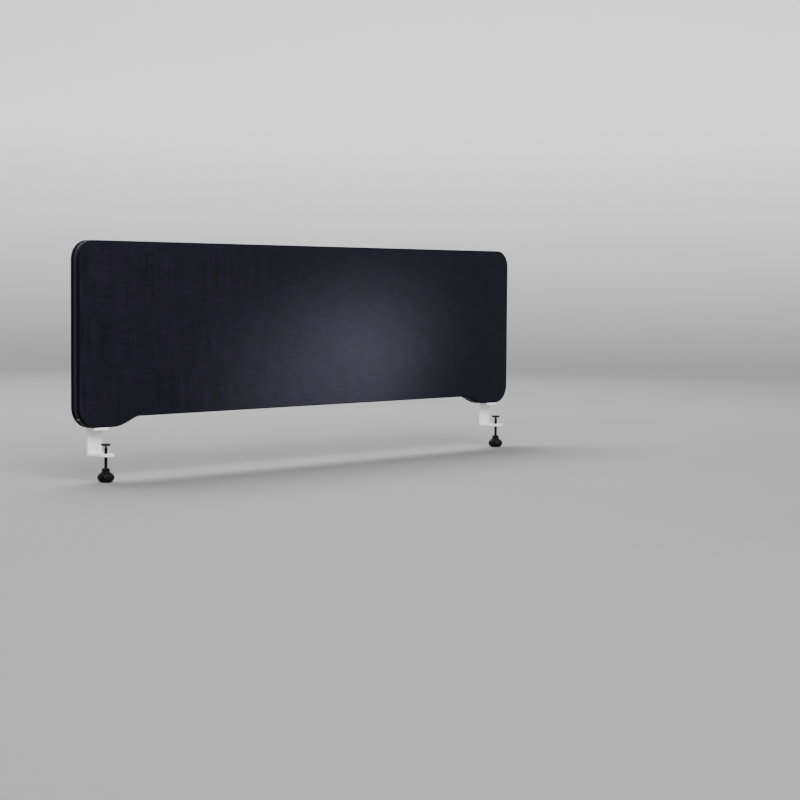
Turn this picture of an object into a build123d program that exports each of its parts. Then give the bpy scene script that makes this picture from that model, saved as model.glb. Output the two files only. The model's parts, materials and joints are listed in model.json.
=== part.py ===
from build123d import *
import math
import os

os.makedirs("parts", exist_ok=True)

# A fabric-covered privacy panel that stands along the rear edge of a desk on two C-clamps.
# Frame: the origin is halfway along the panel, in its middle plane, on the desk top.
# +X runs along the panel, +Y points away from the person at the desk, +Z is up. Millimetres.

# Panel outline
LENGTH = 1600.0
HALF = LENGTH / 2
THICKNESS = 30.0
FACE = THICKNESS / 2
SOLE_Z = 6.0
TOP_Z = 441.5
ARCH_Z = 28.5
TOP_CORNER_R = 45.0
LOW_CORNER_R = 50.0
SOLE_END = 103.0
HEEL_R = 110.0
ARCH_R = 50.0
RAMP_ANGLE = 22.5

# Fabric covers
FABRIC = 1.6
EDGE_R = 2.0
BAND_HALF = 6.0

# Woven tapes and zip, in a groove between the two covers
TAPE = 0.8
TAPE_HALF = 11.0
TAPE_SLIT = 0.15
TAPE_END_LEFT = 24.0
TAPE_END_RIGHT = 52.0
COIL_HALF = 3.0
COIL_TOP = 0.4
COIL_END_LEFT = 28.0
COIL_END_RIGHT = 56.0
STOP_LENGTH = 3.2

# Wooden frame, absorber board and wadding inside the covers
BOARD_HALF = 11.0
BOARD_INSET = FABRIC + TAPE
RAIL = 40.0
FOOT_BLOCK_TOP = 76.0
FOOT_BLOCK_LENGTH = 200.0

# C-clamps
CLAMP_X = 732.0
PLATE = 6.0
STRAP = 42.0
THROAT = 54.0
ARM_TOP = -THROAT
ARM_LOW = ARM_TOP - PLATE
SPINDLE_Y = -29.5
BEND_OUT = 3.0
BEND_IN = 1.0
EDGE_BREAK = 0.6

# Countersunk M6 screws and threaded inserts that hold a clamp under each foot
FIX_PITCH = 24.0
FIX_R = 3.0
FIX_HOLE_R = 3.2
FIX_HEAD_R = 6.0
FIX_TOP = 27.0
INSERT_R = 4.5
INSERT_LENGTH = 13.0

# M8 clamp screw with a ball end, swivel pad and fluted knob
SCREW_R = 4.0
SCREW_RUN = 0.05
BALL_R = 2.6
BALL_Z = -34.8
SOCKET_R = 2.68
NECK_R = 1.5
PAD_TOP = -30.6
PAD_RUBBER = 1.0
PAD_LOW = -36.8
PAD_R = 12.0
SHOULDER_Z = -39.5
SCREW_END = -106.0
KNOB_TOP = -87.8
KNOB_COLLAR_R = 9.25
KNOB_WAIST = -95.2
KNOB_BASE_R = 12.9
KNOB_LOW = -120.0
KNOB_FLUTES = 8

# Zip slider and pull, parked at the lower right end of the zip
PIVOT_X = HALF + 2.3
PIVOT_Z = 62.0
PIVOT_R = 0.6
EYE_R = 0.68
PULL_LENGTH = 25.0


def outline(depth, inset=0.0):
    """The panel's face, drawn upright at Y = depth and drawn in evenly by inset."""
    angle = math.radians(RAMP_ANGLE)
    rise = (ARCH_Z - SOLE_Z) - (HEEL_R + ARCH_R) * (1 - math.cos(angle))
    slope = rise / math.sin(angle)
    foot = SOLE_END + (HEEL_R + ARCH_R) * math.sin(angle) + slope * math.cos(angle)
    with BuildSketch(Plane.XZ.offset(-depth)) as face:
        with BuildLine():
            arch = Line((0, ARCH_Z), (-HALF + foot, ARCH_Z))
            hollow = JernArc(arch @ 1, (-1, 0), ARCH_R, RAMP_ANGLE)
            ramp = PolarLine(hollow @ 1, slope, 180 + RAMP_ANGLE)
            heel = JernArc(ramp @ 1, ramp % 1, HEEL_R, -RAMP_ANGLE)
            sole = Line(heel @ 1, (-HALF + LOW_CORNER_R, SOLE_Z))
            low = JernArc(sole @ 1, (-1, 0), LOW_CORNER_R, -90)
            side = Line(low @ 1, (-HALF, TOP_Z - TOP_CORNER_R))
            high = JernArc(side @ 1, (0, 1), TOP_CORNER_R, -90)
            Line(high @ 1, (0, TOP_Z))
            mirror(about=Plane.YZ)
        make_face()
        if inset > 0:
            offset(amount=-inset)
    return face.sketch


def finish(part, name):
    """Labels a finished piece and writes it."""
    part.label = name
    export_step(part, f"parts/{name}.step")


def frame_piece(low, high):
    """A piece of the board layer between two corners in X and Z, trimmed to the outline."""
    face = outline(BOARD_HALF, BOARD_INSET)
    width = high[0] - low[0]
    height = high[1] - low[1]
    middle = ((low[0] + high[0]) / 2, 0, (low[1] + high[1]) / 2)
    with BuildPart() as piece:
        extrude(face, amount=2 * BOARD_HALF)
        with Locations(middle):
            Box(width, 2 * BOARD_HALF, height, mode=Mode.INTERSECT)
    return piece.part


def edge_strip(y_low, y_high, outer, inner):
    """A strip that follows the panel's whole edge between two insets."""
    shell = outline(y_high, outer)
    core = outline(y_high, inner)
    with BuildPart() as strip:
        extrude(shell, amount=y_high - y_low)
        extrude(core, amount=y_high - y_low, mode=Mode.SUBTRACT)
    return strip.part


def zip_run(left_end, right_end):
    """The room the zip runs through: up one end, over the top and down the other."""
    with BuildPart() as room:
        with Locations((0, 0, FOOT_BLOCK_TOP)):
            Box(LENGTH + 20, THICKNESS, TOP_Z, align=(Align.CENTER, Align.CENTER, Align.MIN))
        with Locations((-HALF, 0, left_end)):
            Box(2 * LOW_CORNER_R, THICKNESS, 100, align=(Align.CENTER, Align.CENTER, Align.MIN))
        with Locations((HALF, 0, right_end)):
            Box(2 * LOW_CORNER_R, THICKNESS, 100, align=(Align.CENTER, Align.CENTER, Align.MIN))
    return room.part


def corner_point(height, inset):
    """The point at a height on the left lower corner, drawn in by inset, and its slope."""
    radius = LOW_CORNER_R - inset
    drop = SOLE_Z + LOW_CORNER_R - height
    turn = math.asin(drop / radius)
    return (-HALF + LOW_CORNER_R - radius * math.cos(turn), 0, height), math.degrees(turn)


# Wadding behind each fabric face

front_fill_face = outline(-BOARD_HALF, FABRIC)
with BuildPart() as front_wadding:
    extrude(front_fill_face, amount=FACE - FABRIC - BOARD_HALF)
    fillet(front_wadding.faces().sort_by(Axis.Y)[0].edges(), EDGE_R - FABRIC)
finish(front_wadding.part, "front_wadding")

with BuildPart() as rear_wadding:
    mirror(front_wadding.part, about=Plane.XZ)
finish(rear_wadding.part, "rear_wadding")

# Fabric covers: shallow trays, open towards the middle plane

cover_face = outline(-BAND_HALF)
cover_room = outline(-BAND_HALF, FABRIC)
with BuildPart() as cover_inside:
    extrude(cover_room, amount=FACE - BAND_HALF - FABRIC)
    fillet(cover_inside.faces().sort_by(Axis.Y)[0].edges(), EDGE_R - FABRIC)

with BuildPart() as front_cover:
    extrude(cover_face, amount=FACE - BAND_HALF)
    fillet(front_cover.faces().sort_by(Axis.Y)[0].edges(), EDGE_R)
    add(cover_inside.part, mode=Mode.SUBTRACT)
finish(front_cover.part, "front_cover")

with BuildPart() as rear_cover:
    mirror(front_cover.part, about=Plane.XZ)
finish(rear_cover.part, "rear_cover")

# Zip tapes, coil and end stops round the sides and top, and the plain tape round the base

tape_room = zip_run(TAPE_END_LEFT, TAPE_END_RIGHT)
coil_room = zip_run(COIL_END_LEFT, COIL_END_RIGHT)

with BuildPart() as zip_tape_front:
    add(edge_strip(-TAPE_HALF, -TAPE_SLIT, FABRIC, BOARD_INSET))
    add(tape_room, mode=Mode.INTERSECT)
finish(zip_tape_front.part, "zip_tape_front")

with BuildPart() as zip_tape_rear:
    mirror(zip_tape_front.part, about=Plane.XZ)
finish(zip_tape_rear.part, "zip_tape_rear")

with BuildPart() as zip_coil:
    add(edge_strip(-COIL_HALF, COIL_HALF, COIL_TOP, FABRIC))
    add(coil_room, mode=Mode.INTERSECT)
finish(zip_coil.part, "zip_coil")

fix_spots = [
    (side * CLAMP_X + step * FIX_PITCH / 2, 0, SOLE_Z)
    for side in (-1, 1)
    for step in (-1, 1)
]
with BuildPart() as base_tape:
    add(edge_strip(-TAPE_HALF, TAPE_HALF, FABRIC, BOARD_INSET))
    add(tape_room, mode=Mode.SUBTRACT)
    with Locations(*fix_spots):
        Cylinder(FIX_R + 0.3, 12, mode=Mode.SUBTRACT)
finish(base_tape.part, "base_tape")

left_stop, left_turn = corner_point(COIL_END_LEFT, FABRIC)
with BuildPart() as zip_end_stops:
    with Locations(Location(left_stop, (0, -left_turn, 0))):
        Box(3.0, 6.8, STOP_LENGTH, align=(Align.CENTER, Align.CENTER, Align.MAX))
    with Locations((HALF - FABRIC, 0, COIL_END_RIGHT)):
        Box(3.0, 6.8, STOP_LENGTH, align=(Align.CENTER, Align.CENTER, Align.MAX))
    add(edge_strip(-FACE, FACE, 0.1, FABRIC), mode=Mode.INTERSECT)
finish(zip_end_stops.part, "zip_end_stops")

# Board layer: wooden frame round an absorber board

side_in = HALF - BOARD_INSET - RAIL
rail_low = TOP_Z - BOARD_INSET - RAIL
block_in = HALF - FOOT_BLOCK_LENGTH

finish(frame_piece((-HALF, rail_low), (HALF, TOP_Z)), "top_rail")
finish(frame_piece((-HALF, FOOT_BLOCK_TOP), (-side_in, rail_low)), "left_stile")
finish(frame_piece((side_in, FOOT_BLOCK_TOP), (HALF, rail_low)), "right_stile")
finish(frame_piece((-block_in, 0), (block_in, FOOT_BLOCK_TOP)), "bottom_rail")
finish(frame_piece((-side_in, FOOT_BLOCK_TOP), (side_in, rail_low)), "absorber_board")

left_block = frame_piece((-HALF, 0), (-block_in, FOOT_BLOCK_TOP))
with BuildPart() as left_foot_block:
    add(left_block)
    with Locations(*fix_spots[:2]):
        Cylinder(
            INSERT_R + 0.02,
            FIX_TOP + 3 - SOLE_Z,
            align=(Align.CENTER, Align.CENTER, Align.MIN),
            mode=Mode.SUBTRACT,
        )
finish(left_foot_block.part, "left_foot_block")

with BuildPart() as right_foot_block:
    mirror(left_foot_block.part, about=Plane.YZ)
finish(right_foot_block.part, "right_foot_block")

# Threaded inserts in the foot blocks

block_sole = SOLE_Z + BOARD_INSET
with BuildPart() as left_foot_inserts:
    with BuildSketch(Plane.XY.offset(block_sole)):
        with Locations(*[(spot[0], 0) for spot in fix_spots[:2]]):
            Circle(INSERT_R)
            Circle(FIX_R + 0.02, mode=Mode.SUBTRACT)
    extrude(amount=INSERT_LENGTH)
finish(left_foot_inserts.part, "left_foot_inserts")

with BuildPart() as right_foot_inserts:
    mirror(left_foot_inserts.part, about=Plane.YZ)
finish(right_foot_inserts.part, "right_foot_inserts")

# Clamp bracket: one strap bent into a C, with a full-round tip on the lower arm

with BuildPart() as left_clamp_bracket:
    with BuildSketch(Plane.YZ.offset(-CLAMP_X - STRAP / 2)):
        with BuildLine():
            Polyline(
                (-FACE, 0),
                (FACE - PLATE, 0),
                (FACE - PLATE, ARM_TOP),
                (SPINDLE_Y - STRAP / 2, ARM_TOP),
                (SPINDLE_Y - STRAP / 2, ARM_LOW),
                (FACE, ARM_LOW),
                (FACE, PLATE),
                (-FACE, PLATE),
                close=True,
            )
        make_face()
    extrude(amount=STRAP)
    strap_ends = left_clamp_bracket.edges().filter_by(Axis.X).group_by(Axis.Y)
    fillet(strap_ends[-1].sort_by(Axis.Z)[0], BEND_OUT)
    inner_corners = left_clamp_bracket.edges().filter_by(Axis.X).filter_by_position(
        Axis.Y, FACE - PLATE - 0.1, FACE - PLATE + 0.1
    )
    fillet(inner_corners, BEND_IN)
    with BuildSketch(Plane.XY.offset(-THROAT - 2 * PLATE)):
        with Locations((-CLAMP_X, SPINDLE_Y)):
            Circle(STRAP / 2)
        with Locations((-CLAMP_X, SPINDLE_Y / 2 + FACE)):
            Rectangle(STRAP, 2 * FACE - SPINDLE_Y)
    extrude(amount=THROAT + 4 * PLATE, mode=Mode.INTERSECT)
    side_rims = left_clamp_bracket.faces().filter_by(Axis.X).edges()
    seams = side_rims.filter_by(Axis.Z).filter_by_position(
        Axis.Y, SPINDLE_Y - 0.1, SPINDLE_Y + 0.1
    )
    front_rims = left_clamp_bracket.edges().filter_by(Axis.X).filter_by_position(
        Axis.Y, -FACE - 0.1, -FACE + 0.1
    )
    tip_arcs = left_clamp_bracket.edges().filter_by(GeomType.CIRCLE).filter_by(
        lambda edge: edge.radius > STRAP / 4
    )
    rims = side_rims - seams + front_rims + tip_arcs
    fillet(rims, EDGE_BREAK)
    with Locations((-CLAMP_X, SPINDLE_Y, ARM_TOP)):
        Hole(SCREW_R + SCREW_RUN, depth=PLATE)
    with Locations(Plane.XY.rotated((180, 0, 0))):
        with Locations(*[(spot[0], 0, 0) for spot in fix_spots[:2]]):
            CounterSinkHole(FIX_HOLE_R, FIX_HEAD_R, depth=PLATE, counter_sink_angle=90)
finish(left_clamp_bracket.part, "left_clamp_bracket")

with BuildPart() as right_clamp_bracket:
    mirror(left_clamp_bracket.part, about=Plane.YZ)
finish(right_clamp_bracket.part, "right_clamp_bracket")

# Countersunk fixing screws, heads flush with the underside of the upper plate

with BuildPart() as fixing_screw:
    with BuildSketch(Plane.XZ):
        with BuildLine():
            Polyline(
                (0, 0.15),
                (FIX_HEAD_R - 0.25, 0.15),
                (FIX_R, FIX_HEAD_R - FIX_R - 0.1),
                (FIX_R, FIX_TOP - 1.0),
                (FIX_R - 1.0, FIX_TOP),
                (0, FIX_TOP),
                close=True,
            )
        make_face()
    revolve(axis=Axis.Z)
    with BuildSketch(Plane.XY.offset(0.15)):
        RegularPolygon(2.3, 6)
    extrude(amount=2.3, mode=Mode.SUBTRACT)

with BuildPart() as left_bracket_screws:
    with Locations(*[(spot[0], 0, 0) for spot in fix_spots[:2]]):
        add(fixing_screw.part)
finish(left_bracket_screws.part, "left_bracket_screws")

with BuildPart() as right_bracket_screws:
    mirror(left_bracket_screws.part, about=Plane.YZ)
finish(right_bracket_screws.part, "right_bracket_screws")

# Clamp screw, drawn as a half profile and turned about its own axis

spindle = Plane(origin=(-CLAMP_X, SPINDLE_Y, 0), x_dir=(1, 0, 0), z_dir=(0, -1, 0))
spindle_axis = Axis((-CLAMP_X, SPINDLE_Y, 0), (0, 0, 1))
neck_top = BALL_Z - math.sqrt(BALL_R**2 - NECK_R**2)

with BuildPart() as left_clamp_screw:
    with BuildSketch(spindle):
        with BuildLine():
            Line((0, SCREW_END), (SCREW_R - 0.8, SCREW_END))
            Line((SCREW_R - 0.8, SCREW_END), (SCREW_R, SCREW_END + 0.8))
            Line((SCREW_R, SCREW_END + 0.8), (SCREW_R, SHOULDER_Z))
            Line((SCREW_R, SHOULDER_Z), (SCREW_R - 1.0, SHOULDER_Z + 1.0))
            Line((SCREW_R - 1.0, SHOULDER_Z + 1.0), (NECK_R, SHOULDER_Z + 1.0))
            Line((NECK_R, SHOULDER_Z + 1.0), (NECK_R, neck_top))
            ThreePointArc((NECK_R, neck_top), (BALL_R, BALL_Z), (0, BALL_Z + BALL_R))
            Line((0, BALL_Z + BALL_R), (0, SCREW_END))
        make_face()
    revolve(axis=spindle_axis)
finish(left_clamp_screw.part, "left_clamp_screw")

with BuildPart() as right_clamp_screw:
    mirror(left_clamp_screw.part, about=Plane.YZ)
finish(right_clamp_screw.part, "right_clamp_screw")

# Swivel pad: a steel cup over the ball, faced with rubber

cup_top = PAD_TOP - PAD_RUBBER
mouth_r = math.sqrt(SOCKET_R**2 - (BALL_Z - PAD_LOW) ** 2)
with BuildPart() as left_pad_cup:
    with BuildSketch(spindle):
        with BuildLine():
            Polyline(
                (0, BALL_Z + SOCKET_R),
                (0, cup_top),
                (PAD_R, cup_top),
                (PAD_R, cup_top - 1.8),
                (5.6, PAD_LOW),
                (mouth_r, PAD_LOW),
            )
            ThreePointArc((mouth_r, PAD_LOW), (SOCKET_R, BALL_Z), (0, BALL_Z + SOCKET_R))
        make_face()
    revolve(axis=spindle_axis)
finish(left_pad_cup.part, "left_pad_cup")

with BuildPart() as right_pad_cup:
    mirror(left_pad_cup.part, about=Plane.YZ)
finish(right_pad_cup.part, "right_pad_cup")

with BuildPart() as left_pad_face:
    with BuildSketch(Plane.XY.offset(cup_top)):
        with Locations((-CLAMP_X, SPINDLE_Y)):
            Circle(PAD_R - 0.4)
    extrude(amount=PAD_RUBBER)
    chamfer(left_pad_face.edges().sort_by(Axis.Z)[-1], 0.3)
finish(left_pad_face.part, "left_pad_face")

with BuildPart() as right_pad_face:
    mirror(left_pad_face.part, about=Plane.YZ)
finish(right_pad_face.part, "right_pad_face")

# Fluted bell-shaped knob with a plain collar and a shallow spherical base

dome_r = (KNOB_BASE_R**2 + 1) / 2
with BuildPart() as left_knob:
    with BuildSketch(spindle):
        with BuildLine():
            Line((0, KNOB_TOP), (KNOB_COLLAR_R - 0.8, KNOB_TOP))
            Line((KNOB_COLLAR_R - 0.8, KNOB_TOP), (KNOB_COLLAR_R, KNOB_TOP - 0.8))
            Line((KNOB_COLLAR_R, KNOB_TOP - 0.8), (KNOB_COLLAR_R, KNOB_WAIST))
            ThreePointArc((KNOB_COLLAR_R, KNOB_WAIST), (14.8, -99.4), (18.6, -104.0))
            ThreePointArc((18.6, -104.0), (20.0, -108.8), (17.8, -115.2))
            ThreePointArc((17.8, -115.2), (15.8, -117.8), (KNOB_BASE_R, -119.0))
            RadiusArc((KNOB_BASE_R, -119.0), (0, KNOB_LOW), dome_r)
            Line((0, KNOB_LOW), (0, KNOB_TOP))
        make_face()
    revolve(axis=spindle_axis)
    with BuildSketch(Plane.XY.offset(KNOB_LOW - 2)):
        with Locations((-CLAMP_X, SPINDLE_Y)):
            with PolarLocations(25.0, KNOB_FLUTES, start_angle=180 / KNOB_FLUTES):
                Circle(7.6)
    extrude(amount=30, mode=Mode.SUBTRACT)
    with BuildSketch(Plane.XY.offset(KNOB_TOP + 1)):
        with Locations((-CLAMP_X, SPINDLE_Y)):
            Circle(SCREW_R + 0.02)
    extrude(amount=SCREW_END - KNOB_TOP - 1.2, mode=Mode.SUBTRACT)
finish(left_knob.part, "left_knob")

with BuildPart() as right_knob:
    mirror(left_knob.part, about=Plane.YZ)
finish(right_knob.part, "right_knob")

# Zip slider: a saddle over the coil with a lug for the pull

with BuildPart() as left_hand_slider:
    with BuildSketch(Plane.YZ.offset(-HALF - 0.9)):
        with Locations((0, PIVOT_Z)):
            RectangleRounded(8.8, 11.2, 2.4)
    extrude(amount=2.2)
    with BuildSketch(Plane.YZ.offset(-HALF + 0.1)):
        with Locations((0, PIVOT_Z)):
            Rectangle(2 * COIL_HALF + 0.6, 20)
    extrude(amount=5, mode=Mode.SUBTRACT)
    with BuildSketch(Plane.XZ.offset(-1.3)):
        with Locations((-PIVOT_X, PIVOT_Z)):
            Circle(1.5)
        with Locations((-PIVOT_X, PIVOT_Z)):
            Rectangle(1.6, 3.0, align=(Align.MIN, Align.CENTER))
    extrude(amount=2.6)
    with BuildSketch(Plane.XZ.offset(-2)):
        with Locations((-PIVOT_X, PIVOT_Z)):
            Circle(EYE_R)
    extrude(amount=4, mode=Mode.SUBTRACT)

with BuildPart() as zip_slider:
    mirror(left_hand_slider.part, about=Plane.YZ)
finish(zip_slider.part, "zip_slider")

# Zip pull: a flat tab hanging from a cross pin that runs through the lug

with BuildPart() as zip_pull:
    with BuildSketch(Plane.XZ.offset(-3.4)):
        with Locations((PIVOT_X, PIVOT_Z)):
            Circle(PIVOT_R)
    extrude(amount=6.8)
    with BuildSketch(Plane.YZ.offset(PIVOT_X - 0.6)):
        with Locations((0, PIVOT_Z)):
            Rectangle(6.8, PULL_LENGTH, align=(Align.CENTER, Align.MAX))
        with Locations((0, PIVOT_Z)):
            Rectangle(3.6, 6.0, mode=Mode.SUBTRACT)
        with Locations((0, PIVOT_Z - PULL_LENGTH + 5)):
            Circle(1.4, mode=Mode.SUBTRACT)
    extrude(amount=1.2)
    fillet(zip_pull.edges().filter_by(Axis.X).group_by(Axis.Z)[0], 2.6)
finish(zip_pull.part, "zip_pull")
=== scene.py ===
import json
import math

import bmesh
import bpy
import numpy as np
from mathutils import Matrix, Vector
from mathutils.geometry import delaunay_2d_cdt

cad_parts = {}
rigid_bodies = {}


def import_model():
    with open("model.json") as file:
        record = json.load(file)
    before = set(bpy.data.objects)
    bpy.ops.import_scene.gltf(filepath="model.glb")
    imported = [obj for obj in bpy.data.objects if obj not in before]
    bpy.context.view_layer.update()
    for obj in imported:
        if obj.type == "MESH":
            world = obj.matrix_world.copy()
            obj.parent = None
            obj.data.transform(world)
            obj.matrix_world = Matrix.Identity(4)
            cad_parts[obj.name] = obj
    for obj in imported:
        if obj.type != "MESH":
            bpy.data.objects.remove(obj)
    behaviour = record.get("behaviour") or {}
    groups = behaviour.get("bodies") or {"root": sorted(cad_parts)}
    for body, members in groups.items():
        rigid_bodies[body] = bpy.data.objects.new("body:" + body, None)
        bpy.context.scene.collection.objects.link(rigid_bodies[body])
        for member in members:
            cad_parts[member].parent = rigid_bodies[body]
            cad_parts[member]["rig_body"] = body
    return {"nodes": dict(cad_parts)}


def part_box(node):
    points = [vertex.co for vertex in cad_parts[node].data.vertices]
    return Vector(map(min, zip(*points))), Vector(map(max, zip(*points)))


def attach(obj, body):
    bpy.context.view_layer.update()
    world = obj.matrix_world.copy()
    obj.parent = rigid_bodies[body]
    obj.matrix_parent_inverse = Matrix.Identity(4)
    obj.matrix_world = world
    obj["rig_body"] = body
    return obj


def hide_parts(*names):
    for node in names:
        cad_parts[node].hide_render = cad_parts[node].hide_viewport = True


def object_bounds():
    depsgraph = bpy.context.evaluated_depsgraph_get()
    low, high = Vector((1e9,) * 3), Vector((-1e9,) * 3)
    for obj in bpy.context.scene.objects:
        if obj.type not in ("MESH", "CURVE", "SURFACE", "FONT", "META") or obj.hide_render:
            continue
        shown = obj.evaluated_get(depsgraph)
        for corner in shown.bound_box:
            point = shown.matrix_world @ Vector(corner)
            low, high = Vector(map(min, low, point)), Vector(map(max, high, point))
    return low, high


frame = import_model()
CAD_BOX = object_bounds()
NODES = frame["nodes"]
MM = 0.001

# ---------------------------------------------------------------- sizes in mm, most of them from the frame


def box_mm(node):
    lo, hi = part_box(node)
    return np.array(lo) / MM, np.array(hi) / MM


# the panel's half length, and its face and its zip band as distances from the middle plane
cover_lo, cover_hi = box_mm("front_cover")
HALF = float(cover_hi[0])
FACE = float(-cover_lo[1])
BAND = float(-cover_hi[1])
# heights: under the feet, top edge, and under the arch, where the frame stands inside the cloth
SOLE = float(cover_lo[2])
TOP = float(cover_hi[2])
FRAME_INSET = 2.4
rail_lo, _ = box_mm("bottom_rail")
ARCH = float(rail_lo[2]) - FRAME_INSET
# corners, the foot's inner end, and the ramp from foot to arch: two arcs with a short straight between
TOP_R, LOW_R, SOLE_END = 45.0, 50.0, 103.0
HEEL_R, ARCH_R, RAMP = 110.0, 50.0, math.radians(22.5)
# the cloth's roll from face to side strip
EDGE_R = 2.0

# ---------------------------------------------------------------- mesh helpers


def new_object(name, verts, faces, uvs=None, attrs=None):
    """A smooth mesh object from points in mm. uvs has a pair for each vertex, in metres, and each of attrs a
    number for each vertex."""
    mesh = bpy.data.meshes.new(name)
    mesh.from_pydata([tuple(v) for v in np.asarray(verts) * MM], [], [tuple(f) for f in faces])
    mesh.validate()
    if uvs is not None:
        layer = mesh.uv_layers.new(name="weave")
        loop_vert = np.zeros(len(mesh.loops), np.int32)
        mesh.loops.foreach_get("vertex_index", loop_vert)
        layer.data.foreach_set("uv", np.asarray(uvs, np.float32)[loop_vert].ravel())
    for key, values in (attrs or {}).items():
        attribute = mesh.attributes.new(key, "FLOAT", "POINT")
        attribute.data.foreach_set("value", np.asarray(values, np.float32))
    mesh.polygons.foreach_set("use_smooth", [True] * len(mesh.polygons))
    obj = bpy.data.objects.new(name, mesh)
    bpy.context.scene.collection.objects.link(obj)
    return obj


def outward(obj):
    """Turns every face of a closed mesh outward."""
    bm = bmesh.new()
    bm.from_mesh(obj.data)
    bmesh.ops.recalc_face_normals(bm, faces=bm.faces)
    bm.to_mesh(obj.data)
    bm.free()
    return obj


def grid_faces(rows, columns):
    """Quads between successive rings of points; each ring closes on itself."""
    faces = []
    for r in range(rows - 1):
        for c in range(columns):
            d = (c + 1) % columns
            faces.append((r * columns + c, r * columns + d, (r + 1) * columns + d, (r + 1) * columns + c))
    return faces


def turned(name, heights, centre, columns, radius_at, wear_at=None):
    """A closed stack of rings round an upright axis. radius_at(ring number, angles) gives a ring's radii, and
    wear_at(ring number, radii) how worn its points are."""
    angles = np.arange(columns) * 2 * math.pi / columns
    verts, wear = [], []
    for i, z in enumerate(heights):
        radii = radius_at(i, angles)
        x = centre[0] + radii * np.cos(angles)
        y = centre[1] + radii * np.sin(angles)
        verts.append(np.c_[x, y, np.full(columns, z)])
        if wear_at is not None:
            wear.append(wear_at(i, radii))
    verts = np.vstack(verts)
    faces = grid_faces(len(heights), columns)
    low, high = len(verts), len(verts) + 1
    verts = np.vstack([verts, [centre[0], centre[1], heights[0]], [centre[0], centre[1], heights[-1]]])
    top = (len(heights) - 1) * columns
    for c in range(columns):
        d = (c + 1) % columns
        faces.append((low, d, c))
        faces.append((high, top + c, top + d))
    attrs = {"wear": np.concatenate([*wear, [0.0, 0.0]])} if wear else None
    return outward(new_object(name, verts, faces, attrs=attrs))


def short_tubes(name, corners, rings, sides):
    """Many short closed tubes in one mesh. corners has an array for each corner of each ring, with one point
    for each tube."""
    verts = np.stack(corners, 1).reshape(-1, 3)
    one_tube = grid_faces(rings, sides)
    one_tube.append(tuple(range(sides - 1, -1, -1)))
    one_tube.append(tuple(range((rings - 1) * sides, rings * sides)))
    starts = range(0, len(verts), rings * sides)
    faces = [tuple(start + i for i in face) for start in starts for face in one_tube]
    return outward(new_object(name, verts, faces))


# ---------------------------------------------------------------- the panel's outline


class Pen:
    """Draws lines and arcs in X and Z as closely spaced points, with the normal to the left of its way."""

    def __init__(self, place, heading, line_step=8.0, arc_step=2.6):
        self.place, self.heading = np.array(place), heading
        self.line_step, self.arc_step = line_step, arc_step
        self.points, self.normals = [], []

    @staticmethod
    def left_of(heading):
        return np.array([-math.sin(heading), math.cos(heading)])

    def line(self, length):
        count = max(1, round(length / self.line_step))
        run = length * np.array([math.cos(self.heading), math.sin(self.heading)])
        for i in range(count):
            self.points.append(self.place + run * i / count)
            self.normals.append(self.left_of(self.heading))
        self.place = self.place + run

    def arc(self, radius, turn):
        """A left turn is positive."""
        count = max(2, round(radius * abs(turn) / self.arc_step))
        reach = math.copysign(radius, turn)
        centre = self.place + reach * self.left_of(self.heading)
        for i in range(count):
            left = self.left_of(self.heading + turn * i / count)
            self.points.append(centre - reach * left)
            self.normals.append(left)
        self.heading += turn
        self.place = centre - reach * self.left_of(self.heading)


def outline():
    """Points and outward normals along the panel's edge in X and Z, clockwise from the arch's middle, and the
    running length. The left half is drawn and mirrored."""
    rise = (ARCH - SOLE) - (HEEL_R + ARCH_R) * (1 - math.cos(RAMP))
    slope = rise / math.sin(RAMP)
    foot = SOLE_END + (HEEL_R + ARCH_R) * math.sin(RAMP) + slope * math.cos(RAMP)
    pen = Pen((0.0, ARCH), math.pi)
    pen.line(HALF - foot)
    pen.arc(ARCH_R, RAMP)
    pen.line(slope)
    pen.arc(HEEL_R, -RAMP)
    pen.line(SOLE_END - LOW_R)
    pen.arc(LOW_R, -math.pi / 2)
    pen.line(TOP - TOP_R - SOLE - LOW_R)
    pen.arc(TOP_R, -math.pi / 2)
    pen.line(HALF - TOP_R)
    left, left_normals = np.array(pen.points), np.array(pen.normals)
    mirror = np.array([-1, 1])
    edge = np.vstack([left, [[0.0, TOP]], left[:0:-1] * mirror])
    edge_normals = np.vstack([left_normals, [[0.0, 1.0]], left_normals[:0:-1] * mirror])
    steps = np.linalg.norm(np.roll(edge, -1, 0) - edge, axis=1)
    run = np.concatenate([[0], np.cumsum(steps)[:-1]])
    return edge, edge_normals, run, float(steps.sum())


EDGE, EDGE_N, EDGE_S, EDGE_LENGTH = outline()


def along(s):
    """Point and outward normal on the edge at running length s (an array)."""
    s = np.asarray(s) % EDGE_LENGTH
    run = np.append(EDGE_S, EDGE_LENGTH)
    edge = np.vstack([EDGE, EDGE[:1]])
    normals = np.vstack([EDGE_N, EDGE_N[:1]])
    p = np.c_[np.interp(s, run, edge[:, 0]), np.interp(s, run, edge[:, 1])]
    n = np.c_[np.interp(s, run, normals[:, 0]), np.interp(s, run, normals[:, 1])]
    n /= np.linalg.norm(n, axis=1)[:, None]
    return p, n


# ---------------------------------------------------------------- node materials


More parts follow.
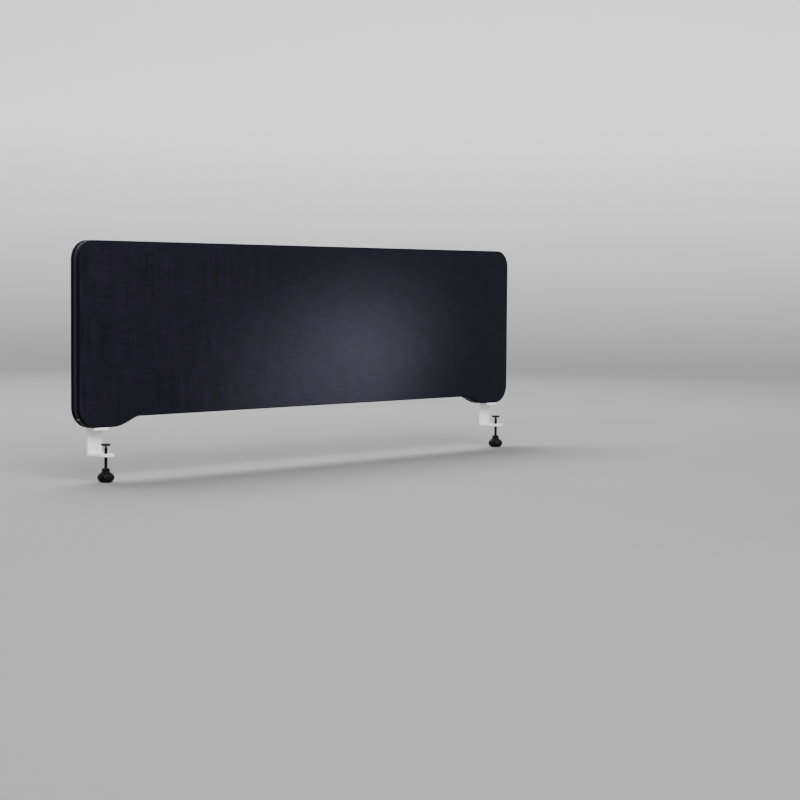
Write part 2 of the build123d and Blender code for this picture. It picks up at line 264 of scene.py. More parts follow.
class Nodes:
    """A material and short calls that add nodes to it."""

    def __init__(self, name):
        self.mat = bpy.data.materials.new(name)
        self.mat.use_nodes = True
        self.tree = self.mat.node_tree
        self.bsdf = self.tree.nodes["Principled BSDF"]

    def add(self, kind, **values):
        node = self.tree.nodes.new(kind)
        for key, value in values.items():
            setattr(node, key, value)
        return node

    def put(self, socket, value):
        if isinstance(value, bpy.types.NodeSocket):
            self.tree.links.new(value, socket)
        elif value is not None:
            socket.default_value = value

    def math(self, op, a, b=None, c=None, clamp=False):
        node = self.add("ShaderNodeMath", operation=op, use_clamp=clamp)
        for i, value in enumerate((a, b, c)):
            if value is not None:
                self.put(node.inputs[i], value)
        return node.outputs[0]

    def times(self, a, b):
        return self.math("MULTIPLY", a, b)

    def plus(self, a, b, clamp=False):
        return self.math("ADD", a, b, clamp=clamp)

    def ridges(self, value, pitch):
        """Rounded ridges, 0 to 1, one to each pitch."""
        return self.math("ABSOLUTE", self.math("SINE", self.times(value, math.pi / pitch)))

    def object_xyz(self):
        return self.add("ShaderNodeTexCoord").outputs["Object"]

    def uv(self):
        return self.add("ShaderNodeUVMap", uv_map="weave").outputs["UV"]

    def attribute(self, name):
        return self.add("ShaderNodeAttribute", attribute_name=name).outputs["Fac"]

    def scaled(self, vector, scale):
        node = self.add("ShaderNodeMapping", vector_type="POINT")
        self.put(node.inputs["Vector"], vector)
        node.inputs["Scale"].default_value = scale
        return node.outputs[0]

    def split(self, vector):
        node = self.add("ShaderNodeSeparateXYZ")
        self.put(node.inputs[0], vector)
        return node.outputs

    def join(self, x, y, z):
        node = self.add("ShaderNodeCombineXYZ")
        for i, value in enumerate((x, y, z)):
            self.put(node.inputs[i], value)
        return node.outputs[0]

    def noise(self, vector, scale, detail, rough=0.5):
        node = self.add("ShaderNodeTexNoise", noise_dimensions="3D")
        self.put(node.inputs["Vector"], vector)
        node.inputs["Scale"].default_value = scale
        node.inputs["Detail"].default_value = detail
        node.inputs["Roughness"].default_value = rough
        return node.outputs["Fac"]

    def checker(self, vector, scale):
        node = self.add("ShaderNodeTexChecker")
        self.put(node.inputs["Vector"], vector)
        node.inputs["Scale"].default_value = scale
        return node.outputs["Fac"]

    def span(self, value, low, high, out_low=0.0, out_high=1.0):
        node = self.add("ShaderNodeMapRange", clamp=True)
        self.put(node.inputs["Value"], value)
        for key, number in zip(("From Min", "From Max", "To Min", "To Max"), (low, high, out_low, out_high)):
            self.put(node.inputs[key], number)
        return node.outputs[0]

    def blend(self, factor, a, b):
        node = self.add("ShaderNodeMix", data_type="RGBA")
        self.put(node.inputs["Factor"], factor)
        self.put(node.inputs[6], (*a, 1.0) if isinstance(a, tuple) else a)
        self.put(node.inputs[7], (*b, 1.0) if isinstance(b, tuple) else b)
        return node.outputs[2]

    def mix(self, factor, a, b):
        node = self.add("ShaderNodeMix", data_type="FLOAT")
        self.put(node.inputs["Factor"], factor)
        self.put(node.inputs[2], a)
        self.put(node.inputs[3], b)
        return node.outputs[0]

    def bump(self, height, distance, strength, normal=None):
        node = self.add("ShaderNodeBump")
        self.put(node.inputs["Height"], height)
        node.inputs["Distance"].default_value = distance
        node.inputs["Strength"].default_value = strength
        if normal is not None:
            self.put(node.inputs["Normal"], normal)
        return node.outputs[0]

    def done(self, color, roughness, normal, **constants):
        """Wires up the shader. constants are sockets by name, with _ for a space."""
        if isinstance(color, tuple):
            color = (*color, 1.0)
        self.put(self.bsdf.inputs["Base Color"], color)
        self.put(self.bsdf.inputs["Roughness"], roughness)
        self.put(self.bsdf.inputs["Normal"], normal)
        for key, value in constants.items():
            self.bsdf.inputs[key.replace("_", " ")].default_value = value
        return self.mat


def woven_fabric(name, dark, light, pitch):
    """Plain-woven wool-look cloth. The yarns follow the cloth's own flat coordinates, round the edges too.
    pitch is their spacing in metres."""
    m = Nodes(name)
    flat = m.uv()
    strip_shade = m.attribute("strip_shade")
    # yarns wander sideways by up to 0.3 mm
    wander = m.noise(flat, 45.0, 2.0)
    shift = m.times(m.math("SUBTRACT", wander, 0.5), 0.0006)
    u, v, _ = m.split(flat)
    u = m.plus(u, shift)
    v = m.math("SUBTRACT", v, shift)
    across = m.ridges(u, pitch)
    up = m.ridges(v, pitch)
    over = m.checker(m.join(u, v, 0.5), 1.0 / pitch)
    warp = m.times(across, m.math("MULTIPLY_ADD", up, 0.45, 0.55))
    weft = m.times(up, m.math("MULTIPLY_ADD", across, 0.45, 0.55))
    height = m.mix(over, weft, warp)
    # thick and thin yarns, larger clouds and loose fibres
    streaks = m.noise(m.scaled(flat, (190.0, 7.0, 1.0)), 1.0, 4.0, 0.65)
    slubs = m.noise(m.scaled(flat, (16.0, 420.0, 1.0)), 1.0, 3.0, 0.6)
    cloud = m.noise(flat, 26.0, 4.0, 0.6)
    fuzz = m.noise(m.scaled(flat, (2600.0, 2600.0, 1.0)), 1.0, 2.0, 0.7)
    tone = m.plus(m.times(streaks, 0.5), m.times(slubs, 0.34))
    tone = m.plus(tone, m.times(cloud, 0.16))
    # the weave's crests are painted lighter and its hollows darker: painted shade between the yarns
    tone = m.plus(m.span(tone, 0.38, 0.62), m.times(m.math("SUBTRACT", height, 0.5), 0.35))
    rim = m.attribute("rim")
    rubbed = m.times(rim, m.span(m.noise(flat, 120.0, 3.0), 0.4, 0.75))
    tone = m.plus(tone, m.times(rubbed, 0.5), clamp=True)
    # the side strip and the face's outermost ring are painted darker than the face, painted shade for sides
    # that face away from the lamps, and the strip is made duller too
    shade = m.math("MULTIPLY_ADD", strip_shade, -0.85, 1.0)
    color = m.blend(m.times(tone, shade), dark, light)
    relief = m.plus(height, m.times(fuzz, 0.35))
    normal = m.bump(relief, 0.00022, 0.75, m.bump(streaks, 0.00021, 0.8))
    patch = m.noise(m.scaled(flat, (330.0, 120.0, 1.0)), 1.0, 3.0, 0.6)
    rough = m.span(m.plus(streaks, patch), 0.72, 1.28, 0.45, 0.72)
    rough = m.math("MAXIMUM", rough, m.times(strip_shade, 0.95))
    return m.done(color, rough, normal, Specular_IOR_Level=0.075, Sheen_Weight=0.010, Sheen_Roughness=0.4,
                  Sheen_Tint=(0.72, 0.72, 1.0, 1.0))


def woven_tape(name, dark, light):
    """Dense nylon tape: ribs along its length, fine crosswise picks, a satin face."""
    m = Nodes(name)
    x, y, z = m.split(m.object_xyz())
    ribs = m.ridges(y, 0.00062)
    run = m.plus(x, z)
    picks = m.ridges(run, 0.00045)
    cloud = m.noise(m.object_xyz(), 60.0, 3.0)
    height = m.plus(m.times(ribs, 0.65), m.times(picks, 0.35))
    # rib and pick crests are painted lighter and their hollows darker, painted shade between the threads; the
    # cloud is the tape's own uneven tone
    tone = m.plus(m.times(height, 0.6), m.times(cloud, 0.5), clamp=True)
    rough = m.span(cloud, 0.3, 0.7, 0.38, 0.5)
    return m.done(m.blend(tone, dark, light), rough, m.bump(height, 0.00012, 0.7), Specular_IOR_Level=0.3,
                  Sheen_Weight=0.08, Sheen_Roughness=0.3)


def moulded_plastic(name, dark, light, rough, spec, grain=0.00006, grain_scale=2200.0):
    """Moulded plastic with a fine sparked texture and faint handling marks."""
    m = Nodes(name)
    p = m.object_xyz()
    fine = m.noise(p, grain_scale, 2.0, 0.6)
    marks = m.noise(p, 90.0, 4.0, 0.65)
    tone = m.plus(m.times(marks, 0.8), m.times(fine, 0.2))
    return m.done(m.blend(m.span(tone, 0.35, 0.7), dark, light), m.span(marks, 0.35, 0.7, *rough),
                  m.bump(fine, grain, 0.8), Specular_IOR_Level=spec)


def powder_coat(name, base, shade):
    """Satin powder coat: slight orange peel, a little grime where hands and desks touch it."""
    m = Nodes(name)
    p = m.object_xyz()
    peel = m.noise(p, 900.0, 2.0, 0.5)
    fine = m.noise(p, 3600.0, 1.0, 0.5)
    grime = m.noise(p, 38.0, 5.0, 0.65)
    color = m.blend(m.span(grime, 0.52, 0.8, 0.0, 0.55), base, shade)
    height = m.plus(peel, m.times(fine, 0.3))
    return m.done(color, m.span(grime, 0.3, 0.8, 0.3, 0.44), m.bump(height, 0.00005, 0.8),
                  Specular_IOR_Level=0.5, Coat_Weight=0.15, Coat_Roughness=0.2)


def metal(name, base, dark, rough, brushed=(1.0, 1.0, 1.0), metallic=1.0, wear=None, spec=0.5):
    """Steel or brass with fine brushing, stains, and brighter metal where an attribute named wear says so."""
    m = Nodes(name)
    p = m.object_xyz()
    lines = m.noise(m.scaled(p, brushed), 900.0, 3.0, 0.6)
    stains = m.noise(p, 160.0, 4.0, 0.6)
    tone = m.plus(m.times(lines, 0.5), m.times(stains, 0.5))
    color = m.blend(m.span(tone, 0.35, 0.7), dark, base)
    if wear is not None:
        mask = m.times(m.attribute("wear"), m.span(stains, 0.4, 0.65))
        color = m.blend(mask, color, wear)
    return m.done(color, m.span(stains, 0.3, 0.75, rough, rough + 0.14), m.bump(lines, 0.00003, 0.6),
                  Metallic=metallic, Specular_IOR_Level=spec)


def rubber(name):
    """Black rubber, dusty in patches."""
    m = Nodes(name)
    p = m.object_xyz()
    dust = m.noise(p, 240.0, 4.0, 0.7)
    fine = m.noise(p, 2600.0, 2.0, 0.6)
    return m.done(m.blend(m.span(dust, 0.4, 0.75), (0.012, 0.012, 0.012), (0.045, 0.043, 0.04)),
                  m.span(dust, 0.3, 0.7, 0.72, 0.86), m.bump(fine, 0.00005, 0.8), Specular_IOR_Level=0.35)


def wood(name):
    """Planed softwood: growth rings drawn out along X, fine pores."""
    m = Nodes(name)
    p = m.object_xyz()
    bend = m.noise(m.scaled(p, (1.2, 14.0, 9.0)), 1.0, 3.0, 0.55)
    x, y, z = m.split(p)
    ring = m.math("SINE", m.plus(m.times(z, 900.0), m.times(bend, 26.0)))
    pores = m.noise(m.scaled(p, (60.0, 2400.0, 2400.0)), 1.0, 2.0, 0.6)
    tone = m.plus(m.math("MULTIPLY_ADD", ring, 0.25, 0.4), m.times(pores, 0.3), clamp=True)
    return m.done(m.blend(tone, (0.42, 0.27, 0.13), (0.68, 0.5, 0.3)), m.span(pores, 0.3, 0.7, 0.55, 0.75),
                  m.bump(tone, 0.00012, 0.6))


def fibre(name, dark, light):
    """Pressed fibre felt: matted short fibres."""
    m = Nodes(name)
    p = m.object_xyz()
    mat = m.noise(p, 700.0, 5.0, 0.75)
    clump = m.noise(p, 60.0, 3.0, 0.6)
    tone = m.plus(m.times(mat, 0.6), m.times(clump, 0.4))
    return m.done(m.blend(m.span(tone, 0.35, 0.7), dark, light), 0.92, m.bump(mat, 0.0004, 0.8),
                  Sheen_Weight=0.2, Sheen_Roughness=0.6)


FABRIC = woven_fabric("cloth_near_black", (0.0022, 0.0019, 0.0046), (0.0118, 0.0099, 0.0208), 0.0009)
# the tape's dark nylon is darkened further as painted shade of the groove it lies in between the covers' hems
TAPE_WITH_PAINTED_SHADE = woven_tape("zip_tape_nylon_painted_shade", (0.0022, 0.0021, 0.0035), (0.0080, 0.0076, 0.0120))
COIL = moulded_plastic("zip_coil_nylon", (0.0120, 0.0110, 0.0190), (0.034, 0.031, 0.050), (0.28, 0.38), 0.32,
                       grain=0.00002)
THREAD = moulded_plastic("thread", (0.003, 0.003, 0.005), (0.012, 0.011, 0.017), (0.45, 0.6), 0.2,
                         grain=0.00004, grain_scale=4200.0)
WHITE = powder_coat("white_powder_coat", (0.91, 0.91, 0.91), (0.74, 0.72, 0.70))
BLACK_PLASTIC = moulded_plastic("black_knob_plastic", (0.0008, 0.0008, 0.0009), (0.0035, 0.0035, 0.0035),
                                (0.40, 0.54), 0.14)
BLACK_STEEL = metal("black_screw_steel", (0.0040, 0.0040, 0.0045), (0.001, 0.001, 0.0012), 0.36, (1, 1, 6),
                    metallic=0.0, wear=(0.022, 0.022, 0.023), spec=0.16)
SLIDER_METAL = metal("slider_black_nickel", (0.24, 0.24, 0.25), (0.09, 0.09, 0.095), 0.24)
STEEL = metal("bare_steel", (0.66, 0.66, 0.68), (0.42, 0.42, 0.44), 0.28, (8, 8, 1))
BRASS = metal("insert_brass", (0.80, 0.62, 0.30), (0.52, 0.38, 0.16), 0.3, (1, 1, 6))
RUBBER = rubber("pad_rubber")
WOOD = wood("frame_wood")
WADDING = fibre("wadding", (0.60, 0.60, 0.58), (0.82, 0.82, 0.80))
ABSORBER = fibre("absorber_felt", (0.30, 0.30, 0.31), (0.52, 0.52, 0.53))


def paint(obj, material):
    obj.data.materials.clear()
    obj.data.materials.append(material)
    return obj


# ---------------------------------------------------------------- fabric covers

# the rings follow the edge this far in; the flat middle is a grid of points inside them
SEAM_D = 40.0
SIDE_MARGIN, ARCH_MARGIN = 58.0, 56.0
GRID_COLUMNS, GRID_ROWS = 104, 28
# the face dips this much at the edge, and the hem is a small tube folded inward above the zip band
EDGE_DIP = 0.2
HEM_LIFT, FOLD_R, FOLD_DROP = 0.95, 0.62, 0.7
# the stitching runs this far from the zip band
STITCH_LIFT = 2.3


def ripple(x, z):
    """Slow unevenness of wadding under cloth, within a quarter of a millimetre."""
    return (0.10 * np.sin(x / 61.0 + 1.3) * np.sin(z / 47.0 + 0.4) + 0.07 * np.sin(x / 23.0 + z / 31.0 + 2.1)
            + 0.06 * np.sin(x / 37.0 - z / 19.0))


def cover_rings():
    """Rings of the cover, from face to hem: how far inside the edge, distance from the middle plane, unrolled
    distance past the face, and the marks for rubbed cloth and for the side strip's painted shade."""
    rings = []
    for inset in (SEAM_D, 32.0, 26.0, 21.0, 17.0, 13.5, 10.5, 8.0, 6.2, 4.6, 3.2, EDGE_R):
        dip = EDGE_DIP * max(0.0, 1 - (inset - EDGE_R) / 22.0) ** 2
        # the last number is how much painted shade the ring gets: some on the face's outermost ring, full on
        # the roll, side strip and hem
        rings.append((inset, FACE - dip, 0.0, 0.35 if inset < 7 else 0.0, 0.85 if inset < 2.5 else 0.0))
    side = FACE - EDGE_DIP - EDGE_R
    for a in np.linspace(0, math.pi / 2, 9)[1:]:
        rings.append((EDGE_R - EDGE_R * math.sin(a), side + EDGE_R * math.cos(a), EDGE_R * a, 0.3, 1.0))
    run = EDGE_R * math.pi / 2
    hem = BAND + HEM_LIFT
    for part in (0.25, 0.5, 0.75, 1.0):
        y = side + (hem - side) * part
        rings.append((-0.12 * math.sin(part * math.pi), y, run + side - y, 0.1, 1.0))
    run += side - hem
    for i in range(1, 7):
        a = i / 6 * math.pi
        inset = FOLD_R - FOLD_R * math.cos(a)
        rings.append((inset, hem - FOLD_DROP * math.sin(a), run + FOLD_R * a, 0.2 if i < 4 else 0.0, 1.0))
    rings.append((1.45, hem + 1.6, run + 3.4, 0.0, 1.0))
    return rings


def cover(name, side):
    """One cloth cover: crowned face, rolled edge, side strip and folded hem. side is -1 for the front and +1
    for the rear."""
    rings = cover_rings()
    count = len(EDGE)
    pucker = np.sin(EDGE_S / 5.1) * 0.5 + np.sin(EDGE_S / 3.3 + 1.0) * 0.5
    verts, uvs, rim, strip_shade = [], [], [], []
    for inset, depth, past, rubbed, painted_strip_shade in rings:
        p = EDGE - EDGE_N * inset
        y = depth + ripple(p[:, 0], p[:, 1]) * min(1.0, inset / SEAM_D)
        if past > 4 and rubbed > 0:
            y = y + 0.10 * pucker
        verts.append(np.c_[p[:, 0], y * side, p[:, 1]])
        uvs.append(p if past == 0 else EDGE - EDGE_N * EDGE_R + EDGE_N * past)
        rim.append(np.full(count, rubbed))
        # this mark carries the side strip's painted shade into the cloth's material
        strip_shade.append(np.full(count, painted_strip_shade))
    verts, uvs = np.vstack(verts), np.vstack(uvs)
    faces = grid_faces(len(rings), count)
    # the flat middle: a mesh of triangles tied to the innermost ring
    ring = [Vector((float(v[0]), float(v[2]))) for v in verts[:count]]
    xs = np.linspace(-HALF + SIDE_MARGIN, HALF - SIDE_MARGIN, GRID_COLUMNS)
    zs = np.linspace(ARCH + ARCH_MARGIN, TOP - SIDE_MARGIN, GRID_ROWS)
    inner = [Vector((float(x), float(z))) for z in zs for x in xs]
    edges = [(i, (i + 1) % count) for i in range(count)]
    points, _, triangles, origin, _, _ = delaunay_2d_cdt(ring + inner, edges, [], 1, 1e-5)
    index, middle, middle_uvs = {}, [], []
    for i, p in enumerate(points):
        known = [o for o in origin[i] if o < count]
        if known:
            index[i] = known[0]
        else:
            index[i] = len(verts) + len(middle)
            middle.append((p[0], (FACE + ripple(p[0], p[1])) * side, p[1]))
            middle_uvs.append((p[0], p[1]))
    verts = np.vstack([verts, middle])
    uvs = np.vstack([uvs, middle_uvs]) * MM
    unmarked = np.zeros(len(middle))
    marks = {"rim": np.concatenate([*rim, unmarked]), "strip_shade": np.concatenate([*strip_shade, unmarked])}
    faces += [tuple(index[i] for i in triangle) for triangle in triangles]
    obj = outward(new_object(name, verts, faces, uvs=uvs, attrs=marks))
    # the mesh is open at the hem, so its outside is settled by the face's own direction
    centre = min(obj.data.polygons, key=lambda f: (f.center - Vector((0, side * FACE * MM, 0.2))).length)
    if centre.normal.y * side < 0:
        obj.data.flip_normals()
    return paint(obj, FABRIC)


def stitches(name, side, level, length=3.1, gap=1.0, width=0.42):
    """A row of topstitching on a cover's side strip, at a distance from the middle plane."""
    count = int(EDGE_LENGTH / (length + gap))
    centres = (np.arange(count) + 0.5) * EDGE_LENGTH / count
    # along each stitch: place as a part of its length, height over the cloth, thickness
    stations = (
        (-0.5, -0.20, 0.55), (-0.36, 0.10, 1.0), (0.0, 0.22, 1.0), (0.36, 0.10, 1.0), (0.5, -0.20, 0.55),
    )
    corners = []
    for place, height, thickness in stations:
        p, n = along(centres + place * length)
        size = width / 2 * thickness
        for dy, dn in ((-size, 0.0), (0.0, size * 0.8), (size, 0.0), (0.0, -size * 0.8)):
            q = p + n * (0.10 + height + dn)
            corners.append(np.c_[q[:, 0], np.full(count, (level + dy) * side), q[:, 1]])
    return paint(short_tubes(name, corners, len(stations), 4), THREAD)


for label, side in (("front", -1), ("rear", 1)):
    piece = cover(f"{label}_cover_cloth", side)
    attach(piece, "panel")
    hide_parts(f"{label}_cover")
    row = stitches(f"{label}_hem_stitching", side, BAND + STITCH_LIFT)
    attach(row, "panel")

# ---------------------------------------------------------------- zip: interlocked coils, slider and pull


def coil_chain(name, left_end=28.0, right_end=56.0, end_zone=60.0, pitch=1.32, sunk=0.98):
    """Two rows of nylon loops that interlock in the middle of the band, from one lower corner to the other.
    left_end and right_end are heights, looked for within end_zone of the panel's ends, and the loops lie sunk
    below the panel's edge."""
    dense = np.linspace(0, EDGE_LENGTH, 8000, endpoint=False)
    p, _ = along(dense)
    left = (p[:, 0] < -HALF + end_zone) & (p[:, 1] > left_end)
    right = (p[:, 0] > HALF - end_zone) & (p[:, 1] > right_end)
    first, last = dense[left].min(), dense[right].max()
    count = int((last - first) / (pitch / 2))
    at = first + (np.arange(count) + 0.5) * pitch / 2
    row = np.where(np.arange(count) % 2 == 0, -1.0, 1.0)
    # across the band, from the outer return by the shank to the head past the middle: distance from the
    # middle, half the loop's width, half its height
    stations = (
        (2.85, 0.30, 0.16), (2.2, 0.30, 0.34), (0.7, 0.27, 0.36), (0.0, 0.36, 0.36), (-0.62, 0.30, 0.22),
    )
    hexagon = ((-1, 0), (-0.5, 0.9), (0.5, 0.9), (1, 0), (0.5, -0.9), (-0.5, -0.9))
    corners = []
    for y, half_run, half_up in stations:
        for da, dn in hexagon:
            q, n = along(at + da * half_run + (y - 1.1) * 0.05)
            q = q + n * (dn * half_up - sunk)
            corners.append(np.c_[q[:, 0], y * row, q[:, 1]])
    return paint(short_tubes(name, corners, len(stations), len(hexagon)), COIL)


chain = coil_chain("zip_coil_chain")
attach(chain, "panel")
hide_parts("zip_coil")


def softened(node, name, width, material):
    """A copy of a CAD node's mesh with its edges broken, for small metal parts."""
    mesh = NODES[node].data.copy()
    mesh.name = name
    obj = bpy.data.objects.new(name, mesh)
    bpy.context.scene.collection.objects.link(obj)
    bm = bmesh.new()
    bm.from_mesh(mesh)
    bmesh.ops.remove_doubles(bm, verts=bm.verts, dist=2e-6)
    bmesh.ops.dissolve_limit(bm, angle_limit=math.radians(1.0), verts=bm.verts, edges=bm.edges)
    bmesh.ops.recalc_face_normals(bm, faces=bm.faces)
    bm.to_mesh(mesh)
    bm.free()
    for key in [a.name for a in mesh.attributes if a.name.startswith("custom_normal")]:
        mesh.attributes.remove(mesh.attributes[key])
    mesh.polygons.foreach_set("use_smooth", [True] * len(mesh.polygons))
    bevel = obj.modifiers.new("soft", "BEVEL")
    bevel.width = width * MM
    bevel.segments = 3
    bevel.limit_method = "ANGLE"
    bevel.angle_limit = math.radians(35)
    bevel.harden_normals = True
    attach(obj, NODES[node]["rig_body"])
    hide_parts(node)
    return paint(obj, material)


slider = softened("zip_slider", "zip_slider_body", 0.28, SLIDER_METAL)
pull = softened("zip_pull", "zip_pull_tab", 0.25, SLIDER_METAL)

# ---------------------------------------------------------------- clamps


def smooth_min(a, b, k):
    """The smaller of two numbers, with the change from one to the other rounded over k."""
    h = np.clip(0.5 + 0.5 * (b - a) / k, 0, 1)
    return b * (1 - h) + a * h - k * h * (1 - h)


def node_axis(node):
    """A CAD node's upright axis in X and Y, its lowest and highest Z, and half its width, all in mm."""
    lo, hi = box_mm(node)
    centre = (lo[:2] + hi[:2]) / 2
    return centre, lo[2], hi[2], (hi[0] - lo[0]) / 2


def smoothed(values):
    """The same values with their corners rounded by three passes of averaging."""
    for _ in range(3):
        values[1:-1] = (values[:-2] + 2 * values[1:-1] + values[2:]) / 4
    return values


# each flute is the hollow of an upright cylinder that stands this far from the knob's axis
FLUTES, FLUTE_AXIS, FLUTE_R = 8, 25.0, 7.6
# the knob's radius against depth below the top of its collar: collar, shoulder, belly and base
KNOB_SHAPE = (
    (8.3, 0.0), (8.9, 0.15), (9.25, 0.7), (9.25, 4.0), (9.25, 7.2), (9.6, 8.1), (10.9, 9.1), (12.6, 10.2),
    (14.8, 11.8), (16.8, 13.7), (18.4, 15.9), (19.4, 18.3), (19.9, 20.2), (20.0, 21.4), (19.7, 23.7),
    (19.0, 25.6), (18.0, 27.2), (16.9, 28.8), (15.7, 30.0), (14.3, 30.8), (12.7, 31.25), (9.5, 31.65),
    (5.0, 32.05), (1.5, 32.18),
)


def knob(label):
    """Moulded knob: plain collar, bell-shaped body, rounded flutes, shallow domed base."""
    centre, _, top, _ = node_axis(f"{label}_knob")
    shape = np.array(KNOB_SHAPE)
    run = np.concatenate([[0], np.cumsum(np.hypot(*np.diff(shape, axis=0).T))])
    at = np.linspace(0, run[-1], 86)
    radii = smoothed(np.interp(at, run, shape[:, 0]))[::-1]
    depths = smoothed(np.interp(at, run, shape[:, 1]))[::-1]

    def radius_at(i, angles):
        lobe = np.abs(angles % (2 * math.pi / FLUTES) - math.pi / FLUTES)
        inside = FLUTE_R**2 - (FLUTE_AXIS * np.sin(lobe)) ** 2
        wall = FLUTE_AXIS * np.cos(lobe) - np.sqrt(np.maximum(inside, 0))
        wall = np.where(inside > 0, wall, FLUTE_AXIS)
        return smooth_min(np.full(len(angles), radii[i]), wall, 1.0)

    return turned(f"{label}_knob_moulding", top - depths, centre, 192, radius_at)


THREAD_R, THREAD_PITCH, THREAD_DEPTH = 4.0, 1.25, 0.66
BALL_R, NECK_R = 2.6, 1.5
# the plain end sits in the knob's bore, and the thread stops at a shoulder below the ball
PLAIN_END, SHOULDER_DROP = 12.0, 4.7
SHANK_R = THREAD_R - 0.1


def screw(label):
    """Clamp screw: plain end, rolled M8 thread, relieved neck and ball end."""
    centre, low, high, _ = node_axis(f"{label}_clamp_screw")
    ball_z = high - BALL_R
    shoulder = ball_z - SHOULDER_DROP
    start = low + PLAIN_END
    neck_top = ball_z - math.sqrt(BALL_R**2 - NECK_R**2) - 0.02
    # each ring: height, radius, and 1 where the thread sets the radius instead
    rings = [(low, SHANK_R - 0.7, 0), (low + 0.8, SHANK_R, 0), (start - 0.1, SHANK_R, 0)]
    rings += [(z, None, 1) for z in np.arange(start, shoulder - 0.05, THREAD_PITCH / 10)]
    rings += [(shoulder, 3.7, 0), (shoulder + 0.5, 3.3, 0), (shoulder + 1.0, 2.9, 0)]
    rings += [(shoulder + 1.05, NECK_R, 0), (neck_top, NECK_R, 0)]
    for a in np.linspace(-math.acos(NECK_R / BALL_R), math.pi / 2 - 0.12, 12):
        rings.append((ball_z + BALL_R * math.sin(a), BALL_R * math.cos(a), 0))

    def radius_at(i, angles):
        z, radius, threaded = rings[i]
        if not threaded:
            return np.full(len(angles), radius)
        phase = (z / THREAD_PITCH - angles / (2 * math.pi)) % 1.0
        flank = np.clip((np.abs(phase - 0.5) - 0.08) / 0.34, 0, 1)
        # the thread runs out over 1.5 mm at its start and 1.2 mm at the shoulder, where the crest drops too
        full = max(0.0, min(1.0, (z - start) / 1.5, (shoulder - z) / 1.2))
        chamfer = 1 - max(0.0, min(1.0, (shoulder - z) / 0.8))
        return THREAD_R - THREAD_DEPTH * full * (1 - flank) - 0.25 * chamfer

    def wear_at(i, radii):
        return np.clip((radii - 3.75) / 0.2, 0, 1) * rings[i][2]

    return turned(f"{label}_screw_thread", [ring[0] for ring in rings], centre, 32, radius_at, wear_at)


# grip ridges, inside a plain rim this wide
RIDGE_PITCH, RIDGE_DEPTH, PAD_RIM = 1.5, 0.32, 0.7


def pad_face(label):
    """Rubber disc with concentric grip ridges."""
    centre, low, top, radius = node_axis(f"{label}_pad_face")
    rings = [(radius, low + 0.02), (radius, top - 0.45)]
    rings += [(radius - 0.15, top - 0.2), (radius - 0.4, top - 0.05)]
    for r in np.arange(radius - PAD_RIM, 0.4, -0.14):
        groove = 0.5 - 0.5 * math.cos(2 * math.pi * (radius - PAD_RIM - r) / RIDGE_PITCH)
        rings.append((r, top - RIDGE_DEPTH * groove))

    def radius_at(i, angles):
        return np.full(len(angles), rings[i][0])

    return turned(f"{label}_pad_rubber", [ring[1] for ring in rings], centre, 96, radius_at)


for label in ("left", "right"):
    part = knob(label)
    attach(paint(part, BLACK_PLASTIC), f"{label}_spindle")
    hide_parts(f"{label}_knob")
    part = screw(label)
    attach(paint(part, BLACK_STEEL), f"{label}_spindle")
    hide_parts(f"{label}_clamp_screw")
    part = pad_face(label)
    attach(paint(part, RUBBER), f"{label}_pad")
    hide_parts(f"{label}_pad_face")
    paint(NODES[f"{label}_pad_cup"], BLACK_STEEL)
    paint(NODES[f"{label}_clamp_bracket"], WHITE)
    paint(NODES[f"{label}_bracket_screws"], STEEL)
    paint(NODES[f"{label}_foot_inserts"], BRASS)
    paint(NODES[f"{label}_foot_block"], WOOD)
    paint(NODES[f"{label}_stile"], WOOD)

for node in ("top_rail", "bottom_rail"):
    paint(NODES[node], WOOD)
for node in ("front_wadding", "rear_wadding"):
    paint(NODES[node], WADDING)
for node in ("zip_tape_front", "zip_tape_rear", "base_tape"):
    paint(NODES[node], TAPE_WITH_PAINTED_SHADE)
paint(NODES["absorber_board"], ABSORBER)
paint(NODES["zip_end_stops"], STEEL)

# ---------------------------------------------------------------- studio: a floor that sweeps up all round, its paper painted grey below and pale up the wall as painted shading

# in metres; the floor lies this gap below the object at rest
FLOOR_R, SWEEP_R, WALL_TOP = 5.5, 3.0, 11.0
FLOOR_GAP = 0.0005


def studio(floor_z):
    """A bowl: flat floor, wide curve, wall, the same from every side. Its paper is painted grey on the floor
    as painted shade and pale up the wall as painted light.
    """
    profile = [(FLOOR_R, 0.0)]
    for a in np.linspace(0, math.pi / 2, 15)[1:]:
        profile.append((FLOOR_R + SWEEP_R * math.sin(a), SWEEP_R - SWEEP_R * math.cos(a)))
    profile.append((FLOOR_R + SWEEP_R, WALL_TOP))
    columns = 96
    angles = np.arange(columns) * 2 * math.pi / columns
    verts = [np.c_[r * np.cos(angles), r * np.sin(angles), np.full(columns, floor_z + z)] for r, z in profile]
    verts = np.vstack([*verts, [[0.0, 0.0, floor_z]]])
    faces = [tuple(face[::-1]) for face in grid_faces(len(profile), columns)]
    faces += [(len(verts) - 1, c, (c + 1) % columns) for c in range(columns)]
    obj = new_object("studio_floor", verts / MM, faces)
    m = Nodes("studio_paper_painted_shading")
    place = m.object_xyz()
    drift = m.noise(place, 0.6, 2.0)
    _, _, height = m.split(place)
    # the paper turns from grey to pale over the first 1.5 m of height: painted shade on the floor and painted
    # light on the wall, in place of how the lamps fall on the bowl
    rise = m.span(height, floor_z + 0.02, floor_z + 1.5)
    floor_painted_shade = m.blend(m.span(drift, 0.3, 0.7), (0.185, 0.185, 0.185), (0.205, 0.205, 0.205))
    m.done(m.blend(rise, floor_painted_shade, (0.90, 0.90, 0.905)), 0.9, None, Specular_IOR_Level=0.1)
    paint(obj, m.mat)


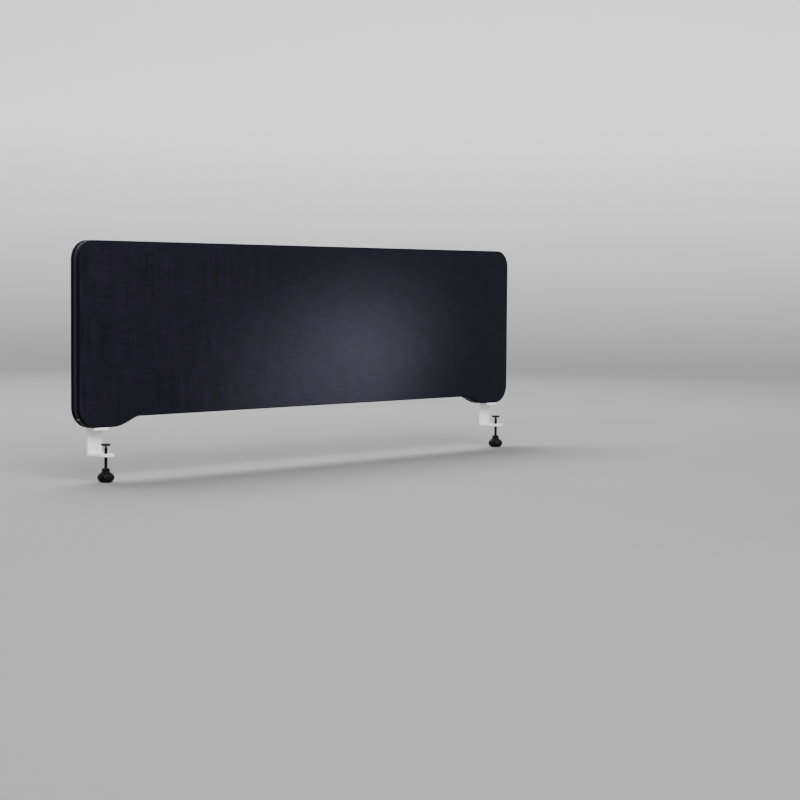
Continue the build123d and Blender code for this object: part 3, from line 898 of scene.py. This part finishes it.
def lamp(name, kind, place, target, power):
    """A lamp at one point that shines towards another."""
    light = bpy.data.lights.new(name, kind)
    light.energy = power
    obj = bpy.data.objects.new(name, light)
    bpy.context.scene.collection.objects.link(obj)
    obj.location = place
    obj.rotation_mode = "QUATERNION"
    obj.rotation_quaternion = (Vector(target) - Vector(place)).to_track_quat("-Z", "Y")
    return light


def softbox(name, place, target, size, power):
    """A rectangular soft light."""
    light = lamp(name, "AREA", place, target, power)
    light.shape = "RECTANGLE"
    light.size, light.size_y = size


def spot(name, place, target, cone, power):
    """A soft-edged pool of light, cone degrees wide."""
    light = lamp(name, "SPOT", place, target, power)
    light.spot_size = math.radians(cone)
    light.spot_blend = 1.0
    light.shadow_soft_size = 0.12
    light.color = (0.95, 0.95, 1.0)


studio(CAD_BOX[0].z - FLOOR_GAP)
softbox("key", (-2.3, -3.5, 4.1), (-0.2, 0, 0.1), (2.6, 2.2), 400)
softbox("fill", (-1.4, -5.0, 2.2), (-0.4, 0, 0), (2.4, 2.0), 50)
softbox("top", (0.4, 2.2, 4.4), (0, 0.2, 0), (4.5, 2.6), 480)
softbox("backdrop", (1.6, 1.8, 4.2), (6.0, 5.0, 1.0), (3.4, 2.0), 270)
# the photograph's pool of light on the cloth, and its bright clamps
spot("pool_low", (3.30, -2.90, 0.10), (0.02, 0, 0.080), 7.6, 1330)
spot("pool_high", (3.45, -2.90, 0.10), (0.235, 0, 0.205), 5.8, 1050)
spot("left_clamp_glow", (-2.9, -3.6, 0.05), (-0.732, -0.02, -0.045), 2.8, 60)
spot("right_clamp_glow", (-1.2, -3.6, 0.05), (0.732, -0.02, -0.045), 2.8, 60)

world = bpy.data.worlds.new("studio_air")
bpy.context.scene.world = world
world.use_nodes = True
air = world.node_tree.nodes["Background"]
air.inputs["Color"].default_value = (1.0, 1.0, 1.0, 1.0)
air.inputs["Strength"].default_value = 0.45

# ---------------------------------------------------------------- camera, fitted to the photograph

EYE = (-3.7838, -3.5800, 0.3461)
YAW, PITCH, ROLL = (math.radians(a) for a in (49.072, 3.329, 0.439))
ahead = Vector((math.sin(YAW) * math.cos(PITCH), math.cos(YAW) * math.cos(PITCH), -math.sin(PITCH)))
right = Vector((math.cos(YAW), -math.sin(YAW), 0))
up = right.cross(ahead)
tilt_right = math.cos(ROLL) * right + math.sin(ROLL) * up
tilt_up = -math.sin(ROLL) * right + math.cos(ROLL) * up
camera = bpy.data.objects.new("camera", bpy.data.cameras.new("camera"))
bpy.context.scene.collection.objects.link(camera)
camera.data.sensor_width = 36.0
camera.data.lens = 89.90
camera.data.clip_start, camera.data.clip_end = 0.05, 100
camera.matrix_world = Matrix((
    (tilt_right.x, tilt_up.x, -ahead.x, EYE[0]),
    (tilt_right.y, tilt_up.y, -ahead.y, EYE[1]),
    (tilt_right.z, tilt_up.z, -ahead.z, EYE[2]),
    (0, 0, 0, 1),
))
bpy.context.scene.camera = camera
